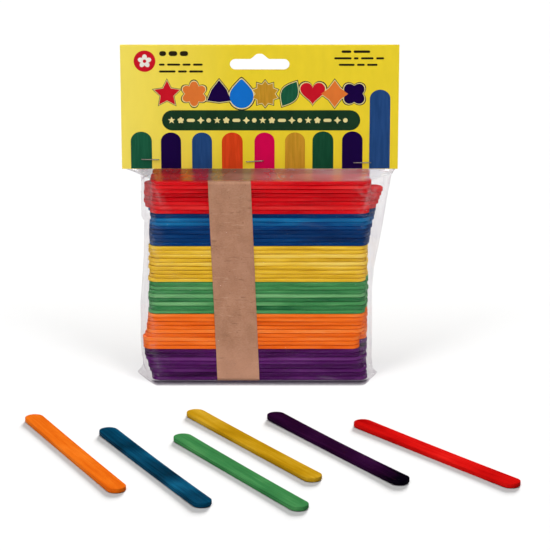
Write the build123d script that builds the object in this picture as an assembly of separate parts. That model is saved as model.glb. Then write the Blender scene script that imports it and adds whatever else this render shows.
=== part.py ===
"""Hang-card bag of 150 dyed craft sticks, with one loose stick of each colour laid out in front of it.

Millimetres, +Z up. The origin is the centre of the face that the bag stands on, +X runs along the sticks
to the right as seen from the front, and the printed front of the card looks along -Y.
"""

from build123d import *
import math
import os
import random

# Driving dimensions: the stick, the stack and the card.
STICK_LENGTH = 114.3  # four and a half inches
STICK_WIDTH = 9.53  # three eighths of an inch
STICK_THICKNESS = 2.0
STICK_EDGE_RADIUS = 0.3
LAYER_PITCH = 2.18  # a stick and the air gap that its slight warp leaves
COLUMN_GAP = 0.12
CLEARANCE = 0.05  # between pieces that rest against each other

# Sticks of each colour in a column, from the bottom of the stack up; each colour has 25 in all.
COLOURS = ("purple", "orange", "green", "yellow", "blue", "red")
COLUMNS = ("front", "middle", "back")
STICKS_IN_COLUMN = {
    "front": (8, 9, 8, 9, 8, 8),
    "middle": (9, 8, 8, 8, 9, 8),
    "back": (8, 8, 9, 8, 8, 9),
}
LAYERS = sum(STICKS_IN_COLUMN["front"])

# Sideways slip of the sticks as (layer, slip), joined by straight lines; each stick adds a small scatter.
SLIP = {
    "front": (
        (0, -0.2), (2, -1.4), (7, -4.2), (8, -4.9), (10, -4.6), (12, -2.6), (17, -1.7), (33, -0.9), (42, 0.1),
        (49, 1.0),
    ),
    "middle": ((0, -0.5), (31, -0.2), (34, 0.5), (38, 2.0), (43, 4.6), (46, 7.2), (47, 1.5), (49, 0.2)),
    "back": ((0, -0.3), (20, 0.3), (39, -0.6), (41, -3.9), (46, -4.2), (47, -0.8), (49, 0.5)),
}
SLIP_SCATTER = 0.35
DEPTH_SCATTER = 0.22  # outer columns only, away from the middle one

BAND_WIDTH = 22.2
BAND_THICKNESS = 0.3
BAND_CENTRE_X = -13.6
BAND_LEAN = 2.3  # degrees, the loop leans to the left towards its top
BAND_CORNER_RADIUS = 0.65

FILM = 0.15  # wall of the bag
BAG_FLOOR = 1.1  # the bag's folded end, gathered flat under the stack
BAG_LEFT = -64.2
BAG_RIGHT_BOTTOM = 60.2
BAG_RIGHT_TOP = 68.0
BAG_CORNER = (3.5, 8.3)  # how far the film cuts each upright corner, along X and Y
SHOULDER_RISE = 2.55  # from the stack's top edge up to the neck
NECK_HALF_WIDTH = 71.0
NECK_TOP = 40.0  # above the card's lower edge, hidden inside the card
FIN_DROP = 7.5  # how far the flat side fins run down below the card

CARD_WIDTH = 144.0
CARD_HEIGHT = 66.0
CARD_THICKNESS = 0.4
CARD_LIFT = 0.2  # from the bag's shoulder to the card's lower edge

SLOT_LENGTH = 30.8  # hang slot, with a rise in the middle for the hook
SLOT_HEIGHT = 5.8
SLOT_ABOVE_CARD_EDGE = 55.65  # its centre line
RISE_BASE = 9.2
RISE_TOP = 3.0
RISE_HEIGHT = 2.8
RISE_RADIUS = 1.6

WIRE_RADIUS = 0.25
STAPLE_WIDTH = 9.5
STAPLE_STAND_OFF = 0.95  # wire centre from the card's middle plane
STAPLE_BEND = 0.35
STAPLE_GAP_BEHIND = 1.6  # between the two bent-over leg ends
STAPLE_HOLE_CLEARANCE = 0.01
STAPLES = {  # name: (x, height above the card's lower edge, tilt in degrees)
    "left": (-57.2, 5.1, 0.6),
    "middle": (-2.7, 4.15, -3.5),
    "right": (53.4, 3.4, 0.0),
}

LOOSE_STICKS = {  # colour: (x, y from the stack's front face, turn about +Z in degrees)
    "orange": (-90.9, -105.3, -63.4),
    "blue": (-50.9, -124.4, -62.1),
    "green": (-9.5, -130.7, -57.2),
    "yellow": (-3.4, -94.6, -56.3),
    "purple": (38.0, -99.2, -55.9),
    "red": (86.3, -105.9, -49.8),
}

# Worked-out places.
COLUMN_PITCH = STICK_WIDTH + COLUMN_GAP
STACK_HALF_DEPTH = COLUMN_PITCH + STICK_WIDTH / 2 + DEPTH_SCATTER
BAND_BOTTOM = BAG_FLOOR + CLEARANCE
STACK_BOTTOM = BAND_BOTTOM + BAND_THICKNESS + CLEARANCE
STACK_TOP = STACK_BOTTOM + (LAYERS - 1) * LAYER_PITCH + STICK_THICKNESS
BAND_HALF_DEPTH = STACK_HALF_DEPTH + CLEARANCE + BAND_THICKNESS
BAND_TOP = STACK_TOP + CLEARANCE + BAND_THICKNESS
BAG_HALF_DEPTH = BAND_HALF_DEPTH + CLEARANCE + FILM
SHOULDER_Z = BAND_TOP + CLEARANCE + FILM
NECK_Z = SHOULDER_Z + SHOULDER_RISE
CARD_BOTTOM = NECK_Z + CARD_LIFT
CARD_TOP = CARD_BOTTOM + CARD_HEIGHT
CARD_INSIDE = FILM + 0.02  # half the gap between the card's panels, which the doubled film fills
CARD_OUTSIDE = CARD_INSIDE + CARD_THICKNESS


def one_stick():
    """A flat stick with half-round ends and eased edges, centred on the origin and standing on Z = 0."""
    blank = extrude(SlotOverall(STICK_LENGTH, STICK_WIDTH), STICK_THICKNESS)
    edges = blank.faces().sort_by(Axis.Z)[0].edges() + blank.faces().sort_by(Axis.Z)[-1].edges()
    return fillet(edges, STICK_EDGE_RADIUS)


def slip_at(column, layer):
    """Sideways slip of a layer, read off the column's straight-line course."""
    course = SLIP[column]
    for (low, low_slip), (high, high_slip) in zip(course, course[1:]):
        if layer <= high:
            return low_slip + (high_slip - low_slip) * (layer - low) / (high - low)
    return course[-1][1]


def stick_groups():
    """The 150 bundled sticks, as one group of separate solids for each colour and column."""
    stick = one_stick()
    scatter = random.Random(11)
    groups = {}
    for index, column in enumerate(COLUMNS):
        outward = index - 1
        layer = 0
        for colour, count in zip(COLOURS, STICKS_IN_COLUMN[column]):
            sticks = []
            for _ in range(count):
                x = slip_at(column, layer) + scatter.uniform(-SLIP_SCATTER, SLIP_SCATTER)
                y = outward * (COLUMN_PITCH + scatter.uniform(0, DEPTH_SCATTER))
                sticks.append(Pos(x, y, STACK_BOTTOM + layer * LAYER_PITCH) * stick)
                layer += 1
            groups[f"{colour}_sticks_{column}"] = Compound(children=sticks)
    return groups


def paper_band():
    """A closed loop of kraft paper round the stack, leaning slightly, with rounded folds."""
    height = BAND_TOP - BAND_BOTTOM
    middle = Plane((0, 0, BAND_BOTTOM + height / 2), x_dir=(0, 1, 0), z_dir=(1, 0, 0))
    outline = RectangleRounded(2 * BAND_HALF_DEPTH, height, BAND_CORNER_RADIUS)
    inner = RectangleRounded(
        2 * (BAND_HALF_DEPTH - BAND_THICKNESS),
        height - 2 * BAND_THICKNESS,
        BAND_CORNER_RADIUS - BAND_THICKNESS,
    )
    loop = extrude(middle * (outline - inner), 2 * BAND_WIDTH, both=True)
    lean = Rot(0, -BAND_LEAN, 0)
    strip = Pos(0, 0, BAND_BOTTOM + height / 2) * lean * Box(BAND_WIDTH, 4 * BAND_HALF_DEPTH, 2 * height)
    return Pos(BAND_CENTRE_X, 0, 0) * (loop & strip)


def bag_body(inset):
    """The filled part of the bag as a solid with flat faces, moved in by inset on every side."""
    block = Pos(0, 0, NECK_Z / 2) * Box(4 * NECK_HALF_WIDTH, 4 * BAG_HALF_DEPTH, 2 * NECK_Z)
    lean = math.atan2(BAG_RIGHT_TOP - BAG_RIGHT_BOTTOM, SHOULDER_Z)
    right = Vector(math.cos(lean), 0, -math.sin(lean))
    corner = math.atan2(BAG_CORNER[0], BAG_CORNER[1])
    cut_x, cut_y = math.cos(corner), math.sin(corner)
    walls = [
        ((0, 0, 0), Vector(0, 0, -1)),
        ((BAG_LEFT, 0, 0), Vector(-1, 0, 0)),
        ((BAG_RIGHT_BOTTOM, 0, 0), right),
    ]
    for side in (-1, 1):
        front = side * BAG_HALF_DEPTH
        walls += [
            ((0, front, 0), Vector(0, side, 0)),
            ((BAG_LEFT + BAG_CORNER[0], front, 0), Vector(-cut_x, side * cut_y, 0)),
            (
                (BAG_RIGHT_BOTTOM - BAG_CORNER[0], front, 0),
                Vector(cut_x * right.X, side * cut_y, cut_x * right.Z).normalized(),
            ),
            ((0, front, SHOULDER_Z), Vector(0, side * SHOULDER_RISE, BAG_HALF_DEPTH - FILM).normalized()),
        ]
    for point, outward in walls:
        block = split(block, bisect_by=Plane(Vector(point) - outward * inset, z_dir=outward), keep=Keep.BOTTOM)
    return block


def bag_neck():
    """The two flat sheets of film pressed together above the stack, with a fin running down each side."""
    top = CARD_BOTTOM + NECK_TOP
    fin_bottom = CARD_BOTTOM - FIN_DROP
    outline = Polyline(
        (-NECK_HALF_WIDTH, NECK_Z - 1),
        (-NECK_HALF_WIDTH, top),
        (NECK_HALF_WIDTH, top),
        (NECK_HALF_WIDTH, NECK_Z - 1),
        (BAG_RIGHT_TOP - 1, fin_bottom),
        (BAG_LEFT + 1, fin_bottom),
        close=True,
    )
    return extrude(Plane.XZ * make_face(outline), FILM, both=True)


def placed_at_staple(shape, name):
    """Moves a shape made at the origin to where a staple is."""
    x, above, tilt = STAPLES[name]
    return Pos(x, 0, CARD_BOTTOM + above) * Rot(0, tilt, 0) * shape


def staple():
    """One wire staple: crown in front, legs through the card and film, ends bent inwards behind."""
    half = STAPLE_WIDTH / 2 - WIRE_RADIUS
    path = FilletPolyline(
        (-STAPLE_GAP_BEHIND / 2, STAPLE_STAND_OFF, 0),
        (-half, STAPLE_STAND_OFF, 0),
        (-half, -STAPLE_STAND_OFF, 0),
        (half, -STAPLE_STAND_OFF, 0),
        (half, STAPLE_STAND_OFF, 0),
        (STAPLE_GAP_BEHIND / 2, STAPLE_STAND_OFF, 0),
        radius=STAPLE_BEND,
    )
    section = Plane(path @ 0, z_dir=path % 0) * Circle(WIRE_RADIUS)
    return sweep(section, path)


def with_staple_holes(solid):
    """Cuts the holes that the staples' legs pierce."""
    half = STAPLE_WIDTH / 2 - WIRE_RADIUS
    drill = Rot(90, 0, 0) * Cylinder(WIRE_RADIUS + STAPLE_HOLE_CLEARANCE, 4 * CARD_OUTSIDE)
    for name in STAPLES:
        for side in (-half, half):
            solid -= placed_at_staple(Pos(side, 0, 0) * drill, name)
    return solid


def poly_bag():
    """The clear film bag: a hollow body round the stack, its folded floor and the doubled film of its neck."""
    inside = split(bag_body(FILM), bisect_by=Plane((0, 0, BAG_FLOOR)), keep=Keep.TOP)
    return with_staple_holes(bag_body(0) + bag_neck() - inside)


def hang_slot():
    """The outline of the hang slot: a round-ended slot with a rise in the middle of its upper edge."""
    rise_low = SLOT_HEIGHT / 2
    rise = Polyline(
        (-RISE_BASE / 2, 0),
        (-RISE_BASE / 2, rise_low),
        (-RISE_TOP / 2, rise_low + RISE_HEIGHT),
        (RISE_TOP / 2, rise_low + RISE_HEIGHT),
        (RISE_BASE / 2, rise_low),
        (RISE_BASE / 2, 0),
        close=True,
    )
    outline = SlotOverall(SLOT_LENGTH, SLOT_HEIGHT) + make_face(rise)
    corners = [v for v in outline.vertices() if v.Y > rise_low - 0.01 and abs(v.X) < RISE_BASE]
    return fillet(corners, RISE_RADIUS)


def header_card():
    """One sheet of card folded over at its top edge, with the hang slot through both panels."""
    panel_top = CARD_TOP - CARD_OUTSIDE
    fold = Pos(0, panel_top) * (Circle(CARD_OUTSIDE) - Circle(CARD_INSIDE))
    fold -= Pos(0, panel_top - CARD_OUTSIDE) * Rectangle(4 * CARD_OUTSIDE, 2 * CARD_OUTSIDE)
    section = fold
    for side in (-1, 1):
        panel = Rectangle(CARD_THICKNESS, panel_top - CARD_BOTTOM)
        section += Pos(side * (CARD_INSIDE + CARD_THICKNESS / 2), (panel_top + CARD_BOTTOM) / 2) * panel
    card = extrude(Plane.YZ * section, CARD_WIDTH / 2, both=True)
    slot = Plane.XZ.offset(0) * hang_slot()
    card -= Pos(0, 0, CARD_BOTTOM + SLOT_ABOVE_CARD_EDGE) * extrude(slot, 4 * CARD_OUTSIDE, both=True)
    return with_staple_holes(card)


def loose_sticks():
    """One stick of each colour lying flat in front of the bag."""
    stick = one_stick()
    front = -(COLUMN_PITCH + STICK_WIDTH / 2)
    return {
        f"loose_{colour}_stick": Pos(x, front + y, 0) * Rot(0, 0, turn) * stick
        for colour, (x, y, turn) in LOOSE_STICKS.items()
    }


def main():
    os.makedirs("parts", exist_ok=True)
    parts = stick_groups()
    parts["paper_band"] = paper_band()
    parts["poly_bag"] = poly_bag()
    parts["header_card"] = header_card()
    for name in STAPLES:
        parts[f"{name}_staple"] = placed_at_staple(staple(), name)
    parts.update(loose_sticks())
    for name, shape in parts.items():
        export_step(shape, f"parts/{name}.step")
    print(f"{len(parts)} parts; stack top {STACK_TOP:.2f}, card {CARD_BOTTOM:.2f} to {CARD_TOP:.2f}")


main()
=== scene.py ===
"""Looks of the hang-card bag of craft sticks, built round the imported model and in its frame.

Lengths are written in millimetres and turned into metres where a mesh is made. The origin is the centre
of the face that the bag stands on, +X runs along the bagged sticks and the printed front looks along -Y.
"""

import random
from math import acos, atan2, cos, exp, hypot, pi, radians, sin

import bpy
import numpy as np
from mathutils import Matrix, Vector, geometry, noise


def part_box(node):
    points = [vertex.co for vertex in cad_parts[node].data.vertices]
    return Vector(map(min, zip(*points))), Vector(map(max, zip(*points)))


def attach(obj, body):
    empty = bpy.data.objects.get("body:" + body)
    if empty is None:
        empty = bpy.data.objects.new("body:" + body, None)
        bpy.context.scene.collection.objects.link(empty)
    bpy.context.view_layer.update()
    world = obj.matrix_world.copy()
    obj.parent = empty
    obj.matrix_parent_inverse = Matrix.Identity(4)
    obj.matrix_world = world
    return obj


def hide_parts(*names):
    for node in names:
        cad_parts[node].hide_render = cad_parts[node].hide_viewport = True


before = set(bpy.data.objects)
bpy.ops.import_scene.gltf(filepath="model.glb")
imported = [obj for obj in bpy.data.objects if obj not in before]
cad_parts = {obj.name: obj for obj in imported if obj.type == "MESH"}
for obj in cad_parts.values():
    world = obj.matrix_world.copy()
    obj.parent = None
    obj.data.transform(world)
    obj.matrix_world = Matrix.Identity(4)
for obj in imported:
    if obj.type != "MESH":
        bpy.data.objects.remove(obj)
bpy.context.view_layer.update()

MM = 0.001
COLOURS = ("purple", "orange", "green", "yellow", "blue", "red")
COLUMNS = ("front", "middle", "back")

# The stick.
STICK_LENGTH = 114.3
STICK_WIDTH = 9.53
STICK_THICKNESS = 2.0
END_RADIUS = STICK_WIDTH / 2
END_CENTRE = STICK_LENGTH / 2 - END_RADIUS
END_STEPS = 8  # around half of an end
SIDE_STEPS = 26
EDGE_RINGS = (  # (inset from the outline, depth below the face) down the rounded edge
    (0.8, 0.0),
    (0.18, 0.0),
    (0.05, 0.05),
    (0.0, 0.18),
)
GRAIN_SPREAD = 900  # how far apart in the wood two sticks may be cut
FACE_SHIFT = 1.5  # between the grain on a stick's underside and on its top

# The stack.
LAYER_PITCH = 2.18
LAYER_GAP = LAYER_PITCH - STICK_THICKNESS
LAYERS = 50
INWARD = {"front": 1, "middle": 0, "back": -1}  # the side to which a column's sticks are pushed in

# The card.
CARD_WIDTH = 144.0
CARD_HALF_THICK = 0.57  # from the middle plane to the outside
CARD_THICKNESS = 0.4
SLOT_CENTRE = 55.65
SLOT_LENGTH = 30.8
SLOT_HEIGHT = 5.8
STAPLE_LEVEL = 7.0  # the panels are held together below this height on the card


def in_mm(corner):
    """A point of the frame in millimetres."""
    return [value / MM for value in corner]


card_low, card_high = (in_mm(corner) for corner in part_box("header_card"))
CARD_BOTTOM = card_low[2]
CARD_HEIGHT = card_high[2] - card_low[2]
PANEL_HEIGHT = CARD_HEIGHT - CARD_HALF_THICK
FOLD_LENGTH = pi * CARD_HALF_THICK
SHEET_LENGTH = 2 * PANEL_HEIGHT + FOLD_LENGTH


# ---- helpers


def linear(red, green, blue):
    """A screen colour, 0 to 255 a channel, as the linear colour that a shader takes."""
    made = []
    for value in (red, green, blue):
        share = value / 255
        made.append(share / 12.92 if share <= 0.04045 else ((share + 0.055) / 1.055) ** 2.4)
    return (*made, 1.0)


def smooth(share):
    """Eases 0 to 1."""
    share = min(1.0, max(0.0, share))
    return share * share * (3 - 2 * share)


def along(course, at):
    """A value read off a course of (place, value) points joined by straight lines."""
    if at <= course[0][0]:
        return course[0][1]
    for (low, low_value), (high, high_value) in zip(course, course[1:]):
        if at <= high:
            return low_value + (high_value - low_value) * (at - low) / (high - low)
    return course[-1][1]


def part_way(start, end, share):
    """The point that far from one point to another."""
    return tuple(first + (last - first) * share for first, last in zip(start, end))


def ripple(x, y, z):
    """Smooth noise from about -1 to 1."""
    return noise.noise(Vector((x, y, z)))


def make_piece(name, points, faces, materials, body, smooth_angle=40):
    """A mesh piece from points in millimetres, riding on a body. faces may be (corners, material index)."""
    mesh = bpy.data.meshes.new(name)
    indexed = bool(faces) and isinstance(faces[0][0], (list, tuple))
    corners = [face[0] for face in faces] if indexed else faces
    mesh.from_pydata([(x * MM, y * MM, z * MM) for x, y, z in points], [], corners)
    for material in materials:
        mesh.materials.append(material)
    if indexed:
        mesh.polygons.foreach_set("material_index", [face[1] for face in faces])
    mesh.polygons.foreach_set("use_smooth", [True] * len(mesh.polygons))
    mesh.set_sharp_from_angle(angle=radians(smooth_angle))
    mesh.update()
    piece = bpy.data.objects.new(name, mesh)
    bpy.context.scene.collection.objects.link(piece)
    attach(piece, body)
    if body == "pack":
        PACK_PIECES.objects.link(piece)
    return piece


def ring_faces(rings, around):
    """The faces between rings of points that lie one over another."""
    faces = []
    for low in range(0, (rings - 1) * around, around):
        for step in range(around):
            after = (step + 1) % around
            faces.append((low + step, low + after, low + around + after, low + around + step))
    return faces


def plate(top, bottom, faces):
    """A closed plate, from the points of its top and underside and the faces of its top."""
    shift = len(top)
    edges = set()
    for face in faces:
        for first, second in zip(face, face[1:] + face[:1]):
            if (second, first) in edges:
                edges.remove((second, first))
            else:
                edges.add((first, second))
    under = [tuple(shift + corner for corner in reversed(face)) for face in faces]
    rim = [(second, first, shift + first, shift + second) for first, second in sorted(edges)]
    return top + bottom, faces + under + rim


def set_attribute(piece, name, values):
    """Stores a value or a vector for each point of a piece, for its material to read."""
    kind, field = ("FLOAT_VECTOR", "vector") if isinstance(values[0], tuple) else ("FLOAT", "value")
    layer = piece.data.attributes.new(name, kind, "POINT")
    layer.data.foreach_set(field, np.asarray(values, dtype=np.float32).ravel())


# ---- materials


def new_material(name):
    """An empty node material."""
    material = bpy.data.materials.new(name)
    material.use_nodes = True
    material.node_tree.nodes.clear()
    return material


def add(material, kind, inputs=None, **settings):
    """Adds a node to a material or a world. An input is a plain value or another node's output."""
    tree = material.node_tree
    made = tree.nodes.new("ShaderNode" + kind)
    for key, value in settings.items():
        setattr(made, key, value)
    for key, value in (inputs or {}).items():
        socket = made.inputs[key]
        if isinstance(value, bpy.types.NodeSocket):
            tree.links.new(value, socket)
        else:
            socket.default_value = value
    return made


def stored(material, name, output="Fac"):
    """What set_attribute stored on the mesh under a name; the output is Vector for a vector."""
    return add(material, "Attribute", attribute_name=name).outputs[output]


def own_place(material):
    """The place on the object, in metres."""
    return add(material, "TexCoord").outputs["Object"]


def noise_of(material, place, scale, detail, roughness, distortion=0.0):
    """A noise pattern over a place, stretched by scale along each axis."""
    mapped = add(material, "Mapping", {"Vector": place, "Scale": scale})
    inputs = {
        "Vector": mapped.outputs["Vector"],
        "Scale": 1.0,
        "Detail": detail,
        "Roughness": roughness,
        "Distortion": distortion,
    }
    return add(material, "TexNoise", inputs).outputs["Fac"]


def maths(material, operation, first, second, clamp=False):
    """One sum on two values."""
    made = add(material, "Math", {0: first, 1: second}, operation=operation, use_clamp=clamp)
    return made.outputs[0]


def plus(material, *values, clamp=False):
    """A sum of values, held to 0..1 if clamp is set."""
    total = values[0]
    for value in values[1:]:
        total = maths(material, "ADD", total, value, clamp and value is values[-1])
    return total


def times(material, first, second, clamp=False):
    """A product of two values."""
    return maths(material, "MULTIPLY", first, second, clamp)


def ranged(material, value, low, high, to_low=0.0, to_high=1.0):
    """Maps low..high to to_low..to_high, held at the ends."""
    inputs = {"Value": value, "From Min": low, "From Max": high, "To Min": to_low, "To Max": to_high}
    return add(material, "MapRange", inputs).outputs["Result"]


def mixed(material, share, first, second):
    """Mixes two colours."""
    return add(material, "MixRGB", {"Fac": share, "Color1": first, "Color2": second}).outputs["Color"]


def ramped(material, value, stops):
    """A colour ramp through (place, colour) stops."""
    made = add(material, "ValToRGB", {"Fac": value})
    while len(made.color_ramp.elements) < len(stops):
        made.color_ramp.elements.new(0.5)
    for element, (place, colour) in zip(made.color_ramp.elements, stops):
        element.position = place
        element.color = colour
    return made.outputs["Color"]


def bumped(material, height, strength, distance):
    """A bump from a height pattern; distance is in metres."""
    inputs = {"Height": height, "Strength": strength, "Distance": distance}
    return add(material, "Bump", inputs).outputs["Normal"]


def finish_surface(material, colour, roughness, specular, normal=None, metallic=0.0):
    """Ends a material in a Principled surface."""
    inputs = {"Base Color": colour, "Roughness": roughness, "Metallic": metallic}
    inputs["Specular IOR Level"] = specular
    if normal:
        inputs["Normal"] = normal
    surface = add(material, "BsdfPrincipled", inputs)
    add(material, "OutputMaterial", {"Surface": surface.outputs["BSDF"]})
    return material


def dyed_wood(colour, dark, main, light):
    """Birch stained through with a dye: long streaks, blotches of dye and fine pores along the grain."""
    made = new_material(f"{colour}_dyed_wood")
    grain = stored(made, "grain", "Vector")
    tint = stored(made, "tint")
    streaks = noise_of(made, grain, (0.035, 0.95, 0.95), 5.0, 0.62, 0.25)
    blotches = noise_of(made, grain, (0.03, 0.09, 0.09), 3.0, 0.5)
    pores = noise_of(made, grain, (0.22, 5.5, 5.5), 2.0, 0.5)
    streaked = ranged(made, streaks, 0.3, 0.7, -0.17, 0.17)
    tone = plus(made, streaked, 0.5, ranged(made, blotches, 0.3, 0.7, -0.2, 0.2), tint)
    tone = maths(made, "SUBTRACT", tone, ranged(made, pores, 0.6, 0.72, 0.0, 0.16), True)
    shade = ramped(made, tone, ((0.0, dark), (0.5, main), (1.0, light)))
    rough = ranged(made, streaks, 0.3, 0.7, 0.62, 0.48)
    relief = plus(made, streaks, times(made, pores, -0.6))
    return finish_surface(made, shade, rough, 0.012, bumped(made, relief, 0.35, 0.0002))


def kraft_paper():
    """Brown kraft paper with cloudy fibres, short creases and specks, with painted light that makes it paler
    towards the bag's foot.
    """
    made = new_material("kraft_paper")
    place = stored(made, "grain", "Vector")
    cloud = noise_of(made, place, (0.12, 0.1, 0.16), 5.0, 0.62)
    fibres = noise_of(made, place, (1.1, 3.6, 2.0), 4.0, 0.65, 0.4)
    specks = noise_of(made, place, (1.4, 0.75, 1.0), 1.0, 0.4)
    pale = noise_of(made, place, (0.9, 2.3, 1.0), 1.0, 0.4, 0.6)
    creases = noise_of(made, place, (0.13, 0.9, 1.0), 2.0, 0.5, 0.7)
    tone = plus(made, ranged(made, cloud, 0.28, 0.72, 0.3, 0.7), ranged(made, fibres, 0.3, 0.7, -0.22, 0.22))
    browns = ((0.0, linear(146, 104, 78)), (0.5, linear(182, 134, 106)), (1.0, linear(206, 160, 132)))
    shade = ramped(made, tone, browns)
    marks = (  # (pattern, where a mark begins and is full, its strength, its colour)
        (creases, 0.65, 0.7, 0.45, (122, 84, 62)),
        (creases, 0.34, 0.28, 0.4, (220, 184, 156)),
        (specks, 0.74, 0.78, 0.8, (80, 50, 34)),
        (pale, 0.74, 0.8, 0.5, (214, 178, 148)),
    )
    for pattern, begins, full, strength, colour in marks:
        shade = mixed(made, ranged(made, pattern, begins, full, 0.0, strength), shade, linear(*colour))
    height = add(made, "SeparateXYZ", {"Vector": own_place(made)}).outputs["Z"]
    # Painted light: the paper is made paler near the floor.
    shade = mixed(made, ranged(made, height, 0.0, 0.022, 0.6, 0.0), shade, linear(212, 160, 132))
    relief = plus(made, fibres, times(made, creases, 2.0))
    return finish_surface(made, shade, 0.78, 0.1, bumped(made, relief, 0.4, 0.00015))


def printed_ink(name, colour, mottle, streaks=0.0, roughness=0.34, painted_highlight_end=None):
    """Semi-gloss ink over the card's fine tooth, slightly uneven in tone.

    streaks draws wood grain in it, and the last argument is the colour of a painted highlight that the ink
    fades to at the card's left end.
    """
    made = new_material(name)
    place = own_place(made)
    uneven = noise_of(made, place, (160.0, 160.0, 60.0), 3.0, 0.6)
    tooth = noise_of(made, place, (2600.0, 2600.0, 2600.0), 2.0, 0.5)
    deeper = tuple(value * 0.72 for value in colour[:3]) + (1.0,)
    shade = mixed(made, ranged(made, uneven, 0.35, 0.7, 0.0, mottle * 4), colour, deeper)
    if streaks:
        grain = noise_of(made, place, (900.0, 900.0, 70.0), 4.0, 0.6, 0.3)
        paler = tuple(min(1.0, value * 1.5 + 0.01) for value in colour[:3]) + (1.0,)
        shade = mixed(made, ranged(made, grain, 0.4, 0.75, 0.0, streaks), shade, paler)
    # Painted highlight: the ink turns paler towards the card's left end.
    if painted_highlight_end:
        across = add(made, "SeparateXYZ", {"Vector": place}).outputs["X"]
        shade = mixed(made, ranged(made, across, -0.071, -0.01, 0.4, 0.0), shade, painted_highlight_end)
    rough = ranged(made, tooth, 0.3, 0.7, roughness - 0.04, roughness + 0.08)
    return finish_surface(made, shade, rough, 0.03, bumped(made, tooth, 0.06, 0.00004))


def staple_wire():
    """Bright drawn wire with fine lines along it and a few dull patches."""
    made = new_material("staple_wire")
    place = own_place(made)
    drawn = noise_of(made, place, (300.0, 5200.0, 5200.0), 3.0, 0.6)
    dull = noise_of(made, place, (900.0, 900.0, 900.0), 3.0, 0.6)
    shade = mixed(made, ranged(made, dull, 0.4, 0.7), linear(150, 146, 136), linear(84, 78, 66))
    rough = ranged(made, dull, 0.35, 0.7, 0.22, 0.5)
    return finish_surface(made, shade, rough, 0.5, bumped(made, drawn, 0.2, 0.00003), metallic=1.0)


def clear_film():
    """Thin clear film: see-through, glossy where it turns away, with fine crinkles and hazy creases; some of
    its white haze is painted highlight, and some of it is darkened with painted shade.
    """
    made = new_material("clear_film")
    place = own_place(made)
    crease = stored(made, "crease")
    sheen = stored(made, "sheen")
    layered_painted_shade = stored(made, "layered_painted_shade")
    wrinkled = stored(made, "wrinkled")
    waves = noise_of(made, place, (230.0, 230.0, 90.0), 3.0, 0.55, 0.4)
    streaks = noise_of(made, place, (420.0, 420.0, 26.0), 3.0, 0.6, 0.5)
    wander = add(made, "TexNoise", {"Vector": place, "Scale": 160.0, "Detail": 3.0}).outputs["Color"]
    inputs = {0: wander, 1: (0.006, 0.006, 0.009), 2: place}
    shifted = add(made, "VectorMath", inputs, operation="MULTIPLY_ADD")
    inputs = {"Vector": shifted.outputs["Vector"], "Scale": 190.0}
    cells = add(made, "TexVoronoi", inputs, feature="DISTANCE_TO_EDGE").outputs["Distance"]
    facets = add(made, "TexVoronoi", inputs, feature="F1").outputs["Color"]
    folds = times(made, ranged(made, cells, 0.0, 0.035, 1.0, 0.0), wrinkled)
    bright = times(made, ranged(made, facets, 0.55, 0.95), wrinkled)
    height = plus(made, waves, times(made, folds, 0.5))
    normal = bumped(made, height, ranged(made, sheen, 0.0, 0.7, 0.12, 0.03), 0.0004)
    turned = add(made, "LayerWeight", {"Blend": 0.5, "Normal": normal}).outputs["Facing"]
    edge_on = maths(made, "POWER", turned, 1.9)
    turning = ranged(made, turned, 0.06, 0.5)
    tilted = times(made, turning, ranged(made, streaks, 0.35, 0.7, 0.6, 1.2), True)
    through = mixed(made, tilted, (0.99, 0.99, 0.99, 1.0), (0.87, 0.85, 0.86, 1.0))
    # Painted shade: where the mesh marks it, the film turns dark and nearly opaque.
    through = mixed(made, layered_painted_shade, through, (0.08, 0.05, 0.1, 1.0))
    clear = add(made, "BsdfTransparent", {"Color": through})
    rough = ranged(made, sheen, 0.0, 1.0, 0.15, 0.32)
    inputs = {"Color": (1.0, 1.0, 1.0, 1.0), "Roughness": rough, "Normal": normal}
    gloss = add(made, "BsdfAnisotropic", inputs)
    haze_and_painted_highlight = add(made, "BsdfDiffuse", {"Color": (0.93, 0.93, 0.95, 1.0)})
    glints = times(made, sheen, 0.25), times(made, folds, 0.1)
    shine = plus(made, times(made, edge_on, 0.12), 0.002, *glints, clamp=True)
    shine = times(made, shine, maths(made, "SUBTRACT", 1.0, layered_painted_shade))
    body = add(made, "MixShader", {0: shine, 1: clear.outputs["BSDF"], 2: gloss.outputs["BSDF"]})
    # Painted highlight: white haze along the crinkle lines and on some facets, laid over their real bump and
    # gloss.
    lines = times(made, folds, 0.3), times(made, bright, 0.07)
    cloudy = plus(made, times(made, crease, 0.2), 0.001, *lines, clamp=True)
    film = add(made, "MixShader", {0: cloudy, 1: body.outputs["Shader"], 2: haze_and_painted_highlight.outputs["BSDF"]})
    add(made, "OutputMaterial", {"Surface": film.outputs["Shader"]})
    return made


DYES = {  # dark, main, light
    "purple": ((36, 4, 42), (82, 22, 94), (122, 56, 134)),
    "orange": ((222, 80, 6), (255, 120, 34), (255, 160, 84)),
    "green": ((28, 96, 54), (74, 150, 88), (132, 196, 132)),
    "yellow": ((190, 136, 4), (244, 198, 52), (254, 226, 116)),
    "blue": ((0, 26, 72), (0, 60, 122), (20, 122, 180)),
    "red": ((146, 0, 8), (220, 6, 20), (240, 54, 52)),
}
LOOSE_DYES = {  # dark, main, light for the sticks lying outside the bag: painted darker than the bagged sticks' dyes, offsetting the stronger light on the loose sticks and the film over the bagged ones
    "purple": ((2, 0, 6), (25, 2, 28), (42, 10, 46)),
    "orange": ((158, 56, 0), (180, 85, 14), (198, 109, 34)),
    "green": ((23, 71, 36), (42, 97, 53), (71, 124, 73)),
    "yellow": ((107, 71, 0), (143, 107, 9), (171, 136, 40)),
    "blue": ((0, 13, 23), (2, 48, 71), (13, 80, 109)),
    "red": ((120, 0, 2), (164, 10, 8), (185, 32, 26)),
}


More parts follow.
